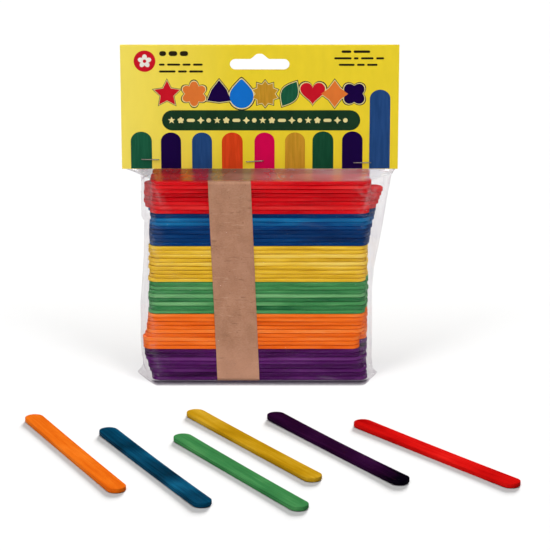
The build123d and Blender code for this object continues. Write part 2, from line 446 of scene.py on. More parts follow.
def dyed_woods(dyes, prefix):
    """A dyed wood for each colour."""
    made = {}
    for colour, shades in dyes.items():
        made[colour] = dyed_wood(prefix + colour, *(linear(*shade) for shade in shades))
    return made


LOOSE_WOOD = dyed_woods(LOOSE_DYES, "loose_")
WOOD = dyed_woods(DYES, "")
KRAFT = kraft_paper()
# The card's yellow carries a painted highlight at its left end.
CARD_YELLOW = printed_ink(
    "card_yellow", linear(235, 208, 47), 0.05, roughness=0.32, painted_highlight_end=linear(255, 240, 132)
)
WIRE = staple_wire()
FILM = clear_film()


# ---- camera, light and floor


# What a light falls on, or what casts shadows from it.
LOOSE_STICKS = bpy.data.collections.new("loose_sticks")
PACK_PIECES = bpy.data.collections.new("pack")
FLOOR_AND_LOOSE = bpy.data.collections.new("floor_and_loose_sticks")

CAMERA_PLACE = (0.0079, -1.315, 0.45925)
CAMERA_DOWN = 17.07  # degrees below level
LENS = 170.2
SENSOR_WIDTH = 36.0
FAR_END = 20.0

SKY_LOW = 0.05
SKY_HIGH = 0.14
SUNS = [  # name, turn (0 is the front, 90 the right), height, strength, softness, what it lights
    ("rim", 167.0, 19.0, 9.9, 20.0, FLOOR_AND_LOOSE),
    ("back", 160.0, 50.0, 0.9, 30.0, PACK_PIECES),
    ("fill", 0.0, 30.0, 0.48, 30.0, PACK_PIECES),
    ("low_fill", -38.0, 8.0, 2.7, 20.0, LOOSE_STICKS),
]
for key_side in (-38.0, 38.0):
    for key_height, key_strength in ((50.0, 0.46), (63.0, 0.44), (76.0, 0.44)):
        key_name = f"key_{key_side:.0f}_{key_height:.0f}"
        SUNS.append((key_name, key_side, key_height, key_strength, 14.0, None))

FLOOR_REACH = 6.0
FLOOR_LEVEL = -0.00005
FLOOR_GREY = 0.543


def set_view(scene):
    """The camera, in front and above, and plain colour handling."""
    data = bpy.data.cameras.new("camera")
    data.sensor_width = SENSOR_WIDTH
    data.lens = LENS
    data.clip_end = FAR_END
    camera = bpy.data.objects.new("camera", data)
    camera.location = CAMERA_PLACE
    camera.rotation_euler = (radians(90 - CAMERA_DOWN), 0, 0)
    scene.collection.objects.link(camera)
    scene.camera = camera
    scene.view_settings.view_transform = "Standard"
    scene.view_settings.look = "None"
    scene.view_settings.exposure = 0.0
    scene.view_settings.gamma = 1.0


def set_sky(scene):
    """A studio dome, brightest overhead."""
    world = bpy.data.worlds.new("studio")
    world.use_nodes = True
    direction = add(world, "TexCoord").outputs["Generated"]
    upward = add(world, "SeparateXYZ", {"Vector": direction}).outputs["Z"]
    background = world.node_tree.nodes["Background"]
    background.inputs["Color"].default_value = (1.0, 1.0, 1.0, 1.0)
    strength = ranged(world, upward, 0.0, 1.0, SKY_LOW, SKY_HIGH)
    world.node_tree.links.new(strength, background.inputs["Strength"])
    scene.world = world


def set_suns(scene):
    """Soft lights from both sides in front, from behind, and low over the loose sticks."""
    for name, turn, height, strength, softness, lit in SUNS:
        data = bpy.data.lights.new(name, "SUN")
        data.energy = strength
        data.angle = radians(softness)
        light = bpy.data.objects.new(name, data)
        turn, up = radians(turn), radians(height)
        place = Vector((sin(turn) * cos(up), -cos(turn) * cos(up), sin(up)))
        light.location = place
        light.rotation_euler = place.to_track_quat("Z", "Y").to_euler()
        scene.collection.objects.link(light)
        if lit:
            light.light_linking.receiver_collection = lit
        if name == "rim":
            light.light_linking.blocker_collection = LOOSE_STICKS
            light.visible_glossy = False


def set_floor(scene):
    """A white seamless floor."""
    low, high = -FLOOR_REACH, FLOOR_REACH
    corners = [(x, y, FLOOR_LEVEL) for x, y in ((low, low), (high, low), (high, high), (low, high))]
    mesh = bpy.data.meshes.new("floor")
    mesh.from_pydata(corners, [], [(0, 1, 2, 3)])
    grey = (FLOOR_GREY, FLOOR_GREY, FLOOR_GREY, 1.0)
    mesh.materials.append(finish_surface(new_material("white_floor"), grey, 0.9, 0.0))
    floor = bpy.data.objects.new("floor", mesh)
    scene.collection.objects.link(floor)
    FLOOR_AND_LOOSE.objects.link(floor)


# ---- sticks


def stick_outline():
    """Stations going once round the stick's outline: (X of the end's centre, cosine, sine)."""
    stations = []
    for end in (1, -1):
        for step in range(-END_STEPS, END_STEPS + 1):
            angle = pi / 2 * step / END_STEPS
            stations.append((end * END_CENTRE, end * cos(angle), end * sin(angle)))
        for step in range(1, SIDE_STEPS):
            stations.append((end * END_CENTRE * (1 - 2 * step / SIDE_STEPS), 0.0, 1.0 * end))
    return stations


def stick_mesh():
    """One straight stick, as points (x, y, face, depth) and faces.

    face is 0 for the underside and 1 for the top, and depth is measured from that face into the wood.
    """
    stations = stick_outline()
    around = len(stations)
    rings = [(inset, depth, 0) for inset, depth in EDGE_RINGS]
    rings += [(inset, depth, 1) for inset, depth in reversed(EDGE_RINGS)]
    points = []
    for inset, depth, face in rings:
        reach = END_RADIUS - inset
        for centre, cosine, sine in stations:
            points.append((centre + reach * cosine, reach * sine, face, depth))
    faces = ring_faces(len(rings), around)
    # The flat faces: strips across the stick between stations that face each other over its middle.
    top = (len(rings) - 1) * around
    tip = END_STEPS
    for step in range(around // 2):
        corners = (tip + step, tip + step + 1, tip - step - 1, tip - step)
        strip = list(dict.fromkeys(corner % around for corner in corners))
        if len(strip) > 2:
            faces.append(tuple(top + corner for corner in strip))
            faces.append(tuple(reversed(strip)))
    return points, faces


STICK_POINTS, STICK_FACES = stick_mesh()


def node_points(name):
    """The corners of a CAD node's mesh, in millimetres."""
    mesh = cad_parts[name].data
    flat = np.empty(len(mesh.vertices) * 3, dtype=np.float32)
    mesh.vertices.foreach_get("co", flat)
    return flat.reshape(-1, 3) / MM


def stick_places(name):
    """The middle of each stick of a bundled group, from the lowest up: (x, y, z of its underside)."""
    points = node_points(name)
    bottom = points[:, 2].min()
    layer = np.floor((points[:, 2] - bottom + LAYER_GAP / 2) / LAYER_PITCH).astype(int)
    places = []
    for index in range(layer.max() + 1):
        own = points[layer == index]
        middle = (own.min(axis=0) + own.max(axis=0)) / 2
        places.append((float(middle[0]), float(middle[1]), float(own[:, 2].min())))
    return places


def stack_wave(column, seam, x):
    """How far the seam under a layer lies above its even height at x, in millimetres."""
    if seam in (0, LAYERS):
        return 0.0
    slow = ripple(x * 0.016, seam * 0.22, column * 9.0 + 3.0)
    quick = ripple(x * 0.05, seam * 0.9, column * 9.0 + 5.0)
    return 0.17 * slow + 0.05 * quick


def half_gap(column, seam, x):
    """Half of the gap at a seam at x: mostly closed, open in places."""
    if seam in (0, LAYERS):
        return LAYER_GAP / 2
    own = 0.5 + 0.5 * ripple(seam * 3.7, column * 4.1, 8.0)
    local = max(0.0, 0.25 + ripple(x * 0.02 + seam * 1.7, seam * 2.3, column * 6.0 + 1.0))
    return 0.04 + 0.07 * own + 0.17 * local


def grain_at(px, py, face, depth, offset):
    """Where a point of a stick lies in the wood that it was cut from."""
    return px + offset[0], py + offset[1], depth + FACE_SHIFT * face + offset[2]


def finish_wood(piece, grain, tint, node):
    """Stores what the dyed wood reads, and puts the piece in place of its CAD node."""
    set_attribute(piece, "grain", grain)
    set_attribute(piece, "tint", tint)
    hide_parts(node)


def build_stack():
    """The bagged sticks, each with its own warp, dye and grain, in a piece for each colour and column."""
    chance = random.Random(5)
    ends = {column: [] for column in COLUMNS}
    for column_index, column in enumerate(COLUMNS):
        layer = 0
        for colour in COLOURS:
            node = f"{colour}_sticks_{column}"
            uneven = 1.5 if colour in ("blue", "green") else 1.0
            points, faces, grain, tint = [], [], [], []
            for x, y, z in stick_places(node):
                ends[column].append((z, x))
                start = len(points)
                own_tint = chance.uniform(-0.22, 0.22) * uneven
                turn = chance.uniform(-0.002, 0.002)
                offset = Vector([chance.uniform(0, GRAIN_SPREAD) for _ in range(3)])
                shave = chance.uniform(0.0, 0.12)
                for px, py, face, depth in STICK_POINTS:
                    at = x + px
                    seam = layer + face
                    gap = half_gap(column_index, seam, at)
                    level = z + STICK_THICKNESS + LAYER_GAP / 2 if face else z - LAYER_GAP / 2
                    level += stack_wave(column_index, seam, at) + (-1 if face else 1) * (gap + depth)
                    sway = 0.09 * (1 + ripple(at * 0.03, layer * 1.9, 20.0 + column_index)) + shave
                    points.append((at, y + py + INWARD[column] * (0.05 + sway) + turn * px, level))
                    grain.append(grain_at(px, py, face, depth, offset))
                    tint.append(own_tint)
                faces += [tuple(start + corner for corner in face) for face in STICK_FACES]
                layer += 1
            piece = make_piece(f"stack_{colour}_{column}", points, faces, [WOOD[colour]], "pack")
            finish_wood(piece, grain, tint, node)
    return ends


LOOSE = {  # colour: (how far its ends rise, twist in degrees, tone of the dye from its left end to its right)
    "orange": (0.25, 0.0, (0.0, 0.06, 0.0, 0.05, -0.04, -0.16)),
    "blue": (0.5, 0.4, (-0.05, 0.12, -0.2, 0.18, 0.0, -0.3, 0.12, -0.1, 0.05)),
    "green": (0.35, 0.0, (0.1, 0.0, 0.05, -0.08, 0.02)),
    "yellow": (0.3, 0.3, (0.05, 0.2, -0.12, 0.06, -0.06, 0.1, 0.2)),
    "purple": (0.6, 0.5, (-0.2, 0.0, 0.12, 0.0, 0.1, -0.15, -0.7)),
    "red": (0.3, 0.0, (-0.3, -0.08, 0.0, 0.15, 0.02, -0.05)),
}


def build_loose():
    """The six loose sticks, each slightly bowed, so that its ends stand a little off the floor."""
    chance = random.Random(23)
    for colour, (rise, twist, tones) in LOOSE.items():
        node = f"loose_{colour}_stick"
        cad = node_points(node)
        middle = (cad.min(axis=0) + cad.max(axis=0)) / 2
        spread = cad[:, :2] - middle[:2]
        direction = np.linalg.eigh(spread.T @ spread)[1][:, 1]
        if direction[0] < 0:
            direction = -direction
        offset = [chance.uniform(0, GRAIN_SPREAD) for _ in range(3)]
        last = len(tones) - 1
        stations = [(STICK_LENGTH * (place / last - 0.5), tone) for place, tone in enumerate(tones)]
        points, grain, tint = [], [], []
        for px, py, face, depth in STICK_POINTS:
            share = px / (STICK_LENGTH / 2)
            tint.append(along(stations, px + 4 * ripple(py * 0.4, px * 0.1, offset[0])))
            lift = rise * share * share + abs(sin(radians(twist)) * py * share)
            z = lift + (STICK_THICKNESS - depth if face else depth)
            x = middle[0] + px * direction[0] - py * direction[1]
            y = middle[1] + px * direction[1] + py * direction[0]
            points.append((float(x), float(y), z))
            grain.append(grain_at(px, py, face, depth, offset))
        body, slot = f"{colour}_stick", f"{colour}_dyed_wood"
        piece = make_piece(f"loose_{body}_wood", points, STICK_FACES, [LOOSE_WOOD[colour]], body)
        finish_wood(piece, grain, tint, node)
        LOOSE_STICKS.objects.link(piece)
        FLOOR_AND_LOOSE.objects.link(piece)


# ---- kraft band

BAND_WIDTH = 22.2
BAND_LEAN = radians(2.3)
BAND_CORNER = 0.9
BAND_PAPER = 0.25
BAND_OVERLAP = 18.0
BAND_INSET = 0.3  # from the outside of the band's box to the paper's inner face
BAND_STEP = 0.9
BAND_STRIPS = 16
LAP_RISE = 0.32  # how far the outer end stands off the end under it
FLOOR_GAP_TOP = 5.0  # below this the band's creases are flatter, to stay off the floor


def loop_point(half_depth, low, high, corner, at):
    """A point and outward direction on a rounded rectangle in Y and Z, at a length along it.

    It starts in the middle of the back and goes up, over the top, down the front and back underneath.
    """
    half_height, middle = (high - low) / 2, (high + low) / 2
    tall, deep = 2 * (half_height - corner), 2 * (half_depth - corner)
    arc = pi / 2 * corner
    at %= 2 * tall + 2 * deep + 4 * arc
    straights = (tall / 2, deep, tall, deep, tall / 2)
    begins = (0.0, -deep / 2, -tall / 2, -deep / 2, -tall / 2)
    outwards = ((1, 0), (0, 1), (-1, 0), (0, -1), (1, 0))
    for side, (length, (out_y, out_z)) in enumerate(zip(straights, outwards)):
        if at <= length or side == 4:
            reach = half_depth if out_y else half_height
            on = begins[side] + at
            return (out_y * reach - out_z * on, middle + out_z * reach + out_y * on), (out_y, out_z)
        at -= length
        if at <= arc:
            centre = (out_y - out_z) * deep / 2, middle + (out_y + out_z) * tall / 2
            angle = pi / 2 * side + at / corner
            outward = (cos(angle), sin(angle))
            return (centre[0] + corner * outward[0], centre[1] + corner * outward[1]), outward
        at -= arc


def build_band():
    """The kraft paper band, with its ends lapped at the back and a few soft creases."""
    low, high = (in_mm(corner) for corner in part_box("paper_band"))
    centre_x = (low[0] + high[0]) / 2
    half_depth, bottom, top = high[1] - BAND_INSET, low[2] + BAND_INSET, high[2] - BAND_INSET
    perimeter = 2 * (2 * half_depth + top - bottom) - (8 - 2 * pi) * BAND_CORNER
    paper_length = perimeter + BAND_OVERLAP
    count = int(paper_length / BAND_STEP)
    across = BAND_STRIPS
    outer, inner, grain, grain_inner = [], [], [], []
    for index in range(count + 1):
        at = paper_length * index / count
        (y, z), (out_y, out_z) = loop_point(half_depth, bottom, top, BAND_CORNER, at - BAND_OVERLAP / 2)
        lapped = LAP_RISE * smooth((at - perimeter + 3) / 3)
        flatter = 1 if z > FLOOR_GAP_TOP or out_z >= 0 else 0.6
        for place in range(across + 1):
            t = BAND_WIDTH * (place / across - 0.5)
            edge = 0.12 * ripple(at * 0.11, 4.0 + (place > across / 2), 1.0) if place in (0, across) else 0.0
            lean = (z - (bottom + top) / 2) * sin(BAND_LEAN)
            x = centre_x + (t + edge - lean) / cos(BAND_LEAN)
            crease = max(0.0, ripple(at * 0.09, t * 0.03, 7.0)) * 0.1
            crease += 0.05 * abs(ripple(at * 0.5, t * 0.06, 11.0))
            away = lapped + crease
            lift = away + BAND_PAPER
            outer.append((x, y + out_y * lift, z + out_z * lift * flatter))
            inner.append((x, y + out_y * away, z + out_z * away * flatter))
            grain.append((t, at, 0.0))
            grain_inner.append((t, at, 5.0))
    width = across + 1
    faces = []
    for low in range(0, count * width, width):
        faces += [(a, a + 1, a + 1 + width, a + width) for a in range(low, low + across)]
    points, faces = plate(outer, inner, faces)
    piece = make_piece("kraft_band", points, faces, [KRAFT], "pack", 50)
    set_attribute(piece, "grain", grain + grain_inner)
    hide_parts("paper_band")


# ---- header card and its print


def rounded_slot(length, height, steps=10):
    """The outline of a bar with half-round ends, centred on the origin, going round once."""
    radius = height / 2
    outline = []
    for sign in (1, -1):
        for step in range(steps + 1):
            angle = pi * (step / steps - 0.5)
            reach = length / 2 - radius + radius * cos(angle)
            outline.append((sign * reach, sign * radius * sin(angle)))
    return outline


def hang_slot_outline():
    """The hang slot: a bar with half-round ends and a rise in the middle of its upper edge."""
    steps = 12
    bar = rounded_slot(SLOT_LENGTH, SLOT_HEIGHT, steps)
    rise = []
    for step in range(-steps, steps + 1):
        x = -step * 6.0 / steps
        rise.append((x, SLOT_HEIGHT / 2 + 2.75 * smooth((5.0 - abs(x)) / 4.4) ** 0.8))
    right_side, left_side = bar[: steps + 1], bar[steps + 1 :]
    return right_side + rise + left_side


def patch(outline, holes, spacing, rows):
    """Fills a flat outline with triangles, leaving the holes open. rows are extra heights for points."""
    loops = [outline, *holes]
    points, constraints = [], []
    for loop in loops:
        constraints.append(list(range(len(points), len(points) + len(loop))))
        points += [Vector((x, y)) for x, y in loop]
    low_x, high_x = min(p[0] for p in outline), max(p[0] for p in outline)
    low_y, high_y = min(p[1] for p in outline), max(p[1] for p in outline)
    steps_x = max(1, int((high_x - low_x) / spacing))
    steps_y = max(1, int((high_y - low_y) / spacing))
    levels = [low_y + (high_y - low_y) * step / steps_y for step in range(steps_y + 1)] + list(rows)
    margin = 1e-4
    for level in levels:
        level = min(high_y - margin, max(low_y + margin, level))
        for step in range(steps_x + 1):
            x = low_x + (high_x - low_x) * step / steps_x
            points.append(Vector((min(high_x - margin, max(low_x + margin, x)), level)))
    made, _, faces, _, _, sources = geometry.delaunay_2d_cdt(points, [], constraints, 1, 1e-5, True)
    kept = [face for face, source in zip(faces, sources) if 0 in source and len(source) == 1]
    used = sorted({corner for face in kept for corner in face})
    renumbered = {old: new for new, old in enumerate(used)}
    triangles = [tuple(renumbered[corner] for corner in face) for face in kept]
    return [tuple(made[old]) for old in used], triangles


def slab(outline, holes, spacing, top, bottom, rows=()):
    """A thin closed plate bent over the card, between two heights over the card's outside."""
    flat, triangles = patch(outline, holes, spacing, rows)
    upper, lower = ([card_point(x, y, height) for x, y in flat] for height in (top, bottom))
    return plate(upper, lower, triangles)


def puff(u, v):
    """How far a panel stands proud between the staples and the fold, in millimetres."""
    upward = sin(pi * min(1.0, max(0.0, (v - STAPLE_LEVEL) / (PANEL_HEIGHT - STAPLE_LEVEL))))
    at_side = smooth(min(u, CARD_WIDTH - u) / 18 + 0.35)
    return upward * (0.34 + 0.14 * ripple(u * 0.03, v * 0.04, 2.0)) * at_side


def card_point(u, w, height):
    """A point over the card's outside. w runs up the front, round the fold and down the back."""
    x = u - CARD_WIDTH / 2
    if w <= PANEL_HEIGHT:
        return x, -(CARD_HALF_THICK + puff(u, w) + height), CARD_BOTTOM + w
    if w < PANEL_HEIGHT + FOLD_LENGTH:
        angle = (w - PANEL_HEIGHT) / CARD_HALF_THICK
        reach = CARD_HALF_THICK + height
        return x, -reach * cos(angle), CARD_BOTTOM + PANEL_HEIGHT + reach * sin(angle)
    v = SHEET_LENGTH - w
    return x, CARD_HALF_THICK + puff(CARD_WIDTH - u, v) + height, CARD_BOTTOM + v


def moved(outline, middle, scale=1.0):
    """An outline scaled about the origin and moved to a middle."""
    return [(middle[0] + px * scale, middle[1] + py * scale) for px, py in outline]


def mirrored_up(outline):
    """The same outline on the card's back panel."""
    return [(px, SHEET_LENGTH - py) for px, py in reversed(outline)]


def build_card(board):
    """The folded card with the hang slot through both panels."""
    slot = moved(hang_slot_outline(), (CARD_WIDTH / 2, SLOT_CENTRE))
    outline = [(0, 0), (CARD_WIDTH, 0), (CARD_WIDTH, SHEET_LENGTH), (0, SHEET_LENGTH)]
    fold_rows = [PANEL_HEIGHT + FOLD_LENGTH * step / 8 for step in range(9)]
    holes = [slot, mirrored_up(slot)]
    points, faces = slab(outline, holes, 4.0, 0.0, -CARD_THICKNESS, fold_rows)
    piece = make_piece("card", points, faces, [board], "pack", 35)
    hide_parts("header_card")


def polar(reach, angle):
    """A point at a distance from the origin, in a direction."""
    return reach * cos(angle), reach * sin(angle)


def star(points, inner, size):
    """A star with that many points, one of them up."""
    outline = []
    for step in range(2 * points):
        outline.append(polar(size * (inner if step % 2 else 1.0), radians(90.0 + 180 * step / points)))
    return outline


def petals(count, size, depth, turn=90.0, steps=60):
    """A round-petalled flower."""
    outline = []
    for step in range(steps):
        angle = 2 * pi * step / steps
        reach = size * (1 - depth + depth * abs(cos(count * angle / 2)))
        outline.append(polar(reach, angle + radians(turn)))
    return outline


def disc(size, steps):
    """A round patch."""
    return petals(1, size, 0.0, steps=steps)


def heart(size):
    """A heart."""
    outline = []
    for step in range(40):
        angle = 2 * pi * step / 40
        x = 16 * sin(angle) ** 3
        y = 13 * cos(angle) - 5 * cos(2 * angle) - 2 * cos(3 * angle) - cos(4 * angle)
        outline.append((-size * x / 17, size * (y + 2.5) / 17))
    return outline


def leaf(size):
    """A pointed leaf, leaning to the right."""
    outline = []
    for sign in (1, -1):
        for step in range(16):
            share = step / 16
            along_it = sign * size * (1 - 2 * share)
            out = sign * size * 0.58 * sin(pi * share)
            outline.append((along_it * 0.5 - out * 0.866, along_it * 0.866 + out * 0.5))
    return outline


def drop(size):
    """A drop with its point up."""
    outline = []
    for step in range(30):
        angle = 2 * pi * step / 30 + pi / 2
        pull = max(0.0, sin(angle)) ** 4
        x = size * 0.78 * cos(angle) * (1 - 0.5 * pull)
        outline.append((x, size * (0.82 * sin(angle) - 0.14 + 0.3 * pull)))
    return outline


INK = {
    "red": (200, 20, 38),
    "orange": (208, 62, 20),
    "title_orange": (224, 118, 50),
    "purple": (24, 0, 62),
    "blue": (30, 66, 118),
    "sky": (18, 112, 204),
    "tan": (190, 138, 36),
    "green": (22, 84, 58),
    "deep_green": (14, 68, 44),
    "magenta": (208, 2, 76),
    "banner": (26, 58, 36),
    "cream": (232, 218, 150),
    "white": (236, 232, 222),
    "outline": (48, 26, 28),
    "dark": (40, 34, 18),
}

STREAKED_INKS = ("blue", "tan", "green", "deep_green", "orange")  # those with printed wood grain
PRINTED_STICKS = (  # (left, right, top, ink)
    (4.8, 15.8, 20.0, "green"),
    (20.5, 31.0, 19.6, "purple"),
    (36.7, 47.1, 19.6, "blue"),
    (52.2, 63.1, 19.6, "orange"),
    (69.2, 79.7, 19.6, "magenta"),
    (85.1, 95.5, 19.6, "tan"),
    (99.4, 110.3, 20.2, "deep_green"),
    (114.8, 125.5, 20.2, "purple"),
    (129.0, 139.7, 42.4, "blue"),
)
PRINTED_FOOT = 0.15  # how far above the card's edge the printed sticks begin
PRINTED_END = 0.92  # the printed sticks' ends are a little flatter than half-round

# Heights of the layers of ink over the card, in millimetres.
INK_UNDERSIDE = -0.02
STICK_INK = 0.02
GROUND_INK = 0.025
BAR_INK = 0.03
RIM_INK = 0.038
MARK_INK = 0.04
TOP_INK = 0.05
INK_SPACING = 3.5

BANNER_MIDDLE = (72.7, 26.1)
BANNER_SIZE = (103.0, 10.8)
BANNER_MARKS = (  # (outline, half of the room that it takes)
    (star(5, 0.45, 1.9), 2.6),
    (petals(5, 1.7, 0.35), 2.5),
    (rounded_slot(4.2, 1.7, 5), 3.1),
    (star(4, 0.5, 1.9), 2.4),
    (disc(1.2, 14), 2.1),
)
FIRST_MARK = -46.5  # from the middle of the banner
LAST_MARK = 47.0
MARKS_CLOSER = 0.35

TITLE_LEVEL = 40.2
TITLE = (  # (ink, outline, middle across the card)
    ("red", star(5, 0.5, 8.2), 24.0),
    ("title_orange", petals(6, 7.6, 0.3), 38.0),
    ("purple", star(3, 0.62, 8.4), 51.0),
    ("sky", drop(9.2), 62.6),
    ("tan", star(10, 0.74, 7.9), 74.8),
    ("green", leaf(8.6), 87.4),
    ("red", heart(8.0), 99.4),
    ("title_orange", star(4, 0.6, 8.2), 110.8),
    ("purple", petals(4, 7.4, 0.34, 45.0), 120.9),
)

BADGE_MIDDLE = (12.6, 57.4)
DASH_GAP = 1.2
BARS = (  # (start, middle height, thickness, lengths of the dashes)
    (20.2, 61.4, 2.6, (3.6, 4.6, 4.4)),
    (20.0, 55.6, 1.1, (3.0, 6.8, 4.2, 5.0)),
    (20.0, 52.0, 1.1, (8.6, 4.6, 7.2)),
    (114.2, 62.4, 1.3, (5.0, 8.6)),
    (110.4, 58.9, 1.1, (9.0, 2.4, 6.6, 4.2)),
    (112.8, 55.5, 1.1, (8.2, 4.0, 5.4)),
)


def lay(sheet, ink, outline, height):
    """Adds a patch of ink to a printed piece, which is its points, its faces and the inks that it uses."""
    points, faces, used = sheet
    if ink not in used:
        used.append(ink)
    new_points, new_faces = slab(outline, (), INK_SPACING, height, INK_UNDERSIDE)
    shift = len(points)
    points += new_points
    faces += [(tuple(shift + corner for corner in face), used.index(ink)) for face in new_faces]


def print_sticks(sheet):
    """Round-ended sticks standing along the card's lower edge."""
    for left, right, top, ink in PRINTED_STICKS:
        half = (right - left) / 2
        flat = half * PRINTED_END
        outline = [(left, PRINTED_FOOT), (right, PRINTED_FOOT)]
        for step in range(17):
            angle = pi * step / 16
            outline.append((left + half + half * cos(angle), top - flat + flat * sin(angle)))
        lay(sheet, ink, outline, STICK_INK)


def print_banner(sheet):
    """A dark bar with a row of small marks on it."""
    lay(sheet, "banner", moved(rounded_slot(*BANNER_SIZE), BANNER_MIDDLE), GROUND_INK)
    across, level = BANNER_MIDDLE
    place = across + FIRST_MARK
    index = 0
    while place < across + LAST_MARK:
        outline, room = BANNER_MARKS[index % len(BANNER_MARKS)]
        index += 1
        next_room = BANNER_MARKS[index % len(BANNER_MARKS)][1]
        lay(sheet, "cream", moved(outline, (place, level)), MARK_INK)
        place += room + next_room - MARKS_CLOSER


def print_title(sheet):
    """A row of plain shapes, each in a pale rim and a dark outline."""
    for ink, outline, across in TITLE:
        middle = (across, TITLE_LEVEL)
        lay(sheet, "outline", moved(outline, middle), GROUND_INK)
        lay(sheet, "cream", moved(outline, middle, 0.93), RIM_INK)
        lay(sheet, ink, moved(outline, middle, 0.86), TOP_INK)


def print_badge(sheet):
    """A round badge with a flower on it."""
    lay(sheet, "red", moved(disc(5.6, 48), BADGE_MIDDLE), GROUND_INK)
    lay(sheet, "white", moved(petals(5, 3.6, 0.42), BADGE_MIDDLE), MARK_INK)
    lay(sheet, "red", moved(disc(0.9, 20), BADGE_MIDDLE), TOP_INK)


def print_bars(sheet):
    """Rows of dashes where small print would be."""
    for start, level, thickness, lengths in BARS:
        for length in lengths:
            outline = moved(rounded_slot(length, thickness, 5), (start + length / 2, level))
            lay(sheet, "dark", outline, BAR_INK)
            start += length + DASH_GAP


def build_print():
    """The print on the front panel, as thin inks laid over the card: no lettering, only plain shapes.

    Each piece is named after the function that draws it.
    """
    inks = {}
    for name, colour in INK.items():
        mottle = 0.22 if name == "banner" else 0.1
        streaks = 0.45 if name in STREAKED_INKS else 0.0
        inks[name] = printed_ink(f"ink_{name}", linear(*colour), mottle, streaks)
    for fill in (print_sticks, print_banner, print_title, print_badge, print_bars):
        points, faces, used = sheet = ([], [], [])
        fill(sheet)
        make_piece(fill.__name__, points, faces, [inks[ink] for ink in used], "pack", 30)


# ---- film bag

FILM_CLEARANCE = 0.25
FILM_SLACK = 0.55
TURN_RADIUS = END_RADIUS + FILM_CLEARANCE + FILM_SLACK  # of the film round a corner of the stack
CORNER_Y = 9.65  # the middle of the outer columns' sticks
STACK_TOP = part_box("red_sticks_front")[1][2] / MM
WALL_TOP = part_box("paper_band")[1][2] / MM - 0.2  # where the walls end and the shoulder begins
LEFT_RIDGE = (  # (height, reach to the side)
    (0, 63.8), (1.4, 65.4), (3.5, 63.6), (6, 62.2), (16, 62.4), (22, 63.5), (40, 63.4), (66, 61.2),
    (98, 60.2), (110.6, 62.4),
)
RIGHT_RIDGE = (  # (height, reach to the side)
    (0, 61.2), (1.2, 62.6), (2.6, 60.6), (5, 59.8), (10, 59.4), (48, 59.2), (60, 60.2), (66, 61.2),
    (85, 64.4), (95, 66.0), (103, 67.4), (110.6, 68.8),
)
FOOT_FLARE = 3.7  # how far the folded end stands out in front at the floor; the painted shade on it stands in for a contact shadow there
FOOT_HEIGHT = 1.3  # the flare has gone at this height
FOOT_HALF = 59.0
FOOT_LEVEL = 0.12  # of the film between the seam and the wall
SEAM_HALF = 62.5  # half of the end seam, which lies on the floor with an ear at each side
SEAM_LEVEL = 0.06
EAR_START = 50.0
EAR_RISE = 0.5
SEAM_SHARES = (0.0, 0.15, 0.35, 0.55, 0.75, 0.9, 1.0)  # of the way from the end seam to the wall
WALL_START = 0.16
WALL_STEPS = 160
NECK_HALF_WIDTH = 71.0
NECK_START = CARD_BOTTOM + 0.3
NECK_ABOVE = 38.0
NECK_HALF_GAP = 0.08  # the two sheets lie this far off the card's middle
NECK_STEPS = 19
SHOULDER_STEPS = 16
RIDGE_STEPS = 12
ARC_STEPS = 7
FRONT_STEPS = 150
FOLDS = (  # folds in the front film, each raised and whitened along its length, the white a painted highlight: (from x, z, to x, z, width, strength)
    (-56.4, 110, -55.9, 97, 0.7, 0.75),
    (-55.2, 109, -50, 97, 1.3, 0.28),
    (-54.5, 104, -55.6, 84, 0.8, 0.25),
    (-51, 101, -45, 88, 1.6, 0.1),
    (-57.5, 84, -53, 66, 1, 0.3),
    (-50, 72, -37, 42, 3, 0.08),
    (-58.5, 50, -56, 28, 1, 0.3),
    (-57, 22, -52.5, 5, 0.7, 0.3),
    (-50, 16, -47, 8, 0.6, 0.1),
    (57.5, 109, 54, 97, 0.5, 0.7),
    (60, 106, 52, 92, 0.5, 0.5),
    (48, 108, 57, 101, 0.6, 0.4),
    (50, 96, 57, 90, 0.6, 0.25),
    (56, 84, 57, 58, 0.9, 0.25),
    (20, 89, 34, 86, 1, 0.12),
    (30, 4, 40, 2.5, 0.8, 0.3),
)


def corner_reach(ends, column, z, sign):
    """How far the stick ends of a column reach towards one side near a height."""
    near = [sign * x for height, x in ends[column] if -5.5 < z - height < 4.5]
    return STICK_LENGTH / 2 + (max(near) if near else 0.0)


def side_course(ends, column, z, sign, ridges):
    """The film's course at a height from its side ridge to where it leaves the stack's corner."""
    tip = corner_reach(ends, column, z, sign)
    ridge = max(along(ridges, z), corner_reach(ends, "middle", z, sign) + 0.7, tip + 0.9)
    centre = tip - END_RADIUS
    to_ridge = atan2(CORNER_Y, ridge - centre)
    apart = hypot(CORNER_Y, ridge - centre)
    leaves = to_ridge - acos(min(1.0, TURN_RADIUS / apart))
    touch = (centre + TURN_RADIUS * cos(leaves), -CORNER_Y + TURN_RADIUS * sin(leaves))
    points = [part_way((ridge, 0.0), touch, step / RIDGE_STEPS) for step in range(RIDGE_STEPS + 1)]
    for step in range(1, ARC_STEPS + 1):
        angle = leaves + (-pi / 2 - leaves) * step / ARC_STEPS
        points.append((centre + TURN_RADIUS * cos(angle), -CORNER_Y + TURN_RADIUS * sin(angle)))
    return [(sign * x, y) for x, y in points]


def half_section(ends, z, front):
    """The film's course round the front (or back) at a height, from the left ridge to the right ridge."""
    column = "front" if front else "back"
    left = side_course(ends, column, z, -1, LEFT_RIDGE)
    right = side_course(ends, column, z, 1, RIGHT_RIDGE)
    middle = [part_way(left[-1], right[-1], step / FRONT_STEPS) for step in range(1, FRONT_STEPS)]
    course = left + middle + right[::-1]
    return course if front else [(x, -y) for x, y in course]


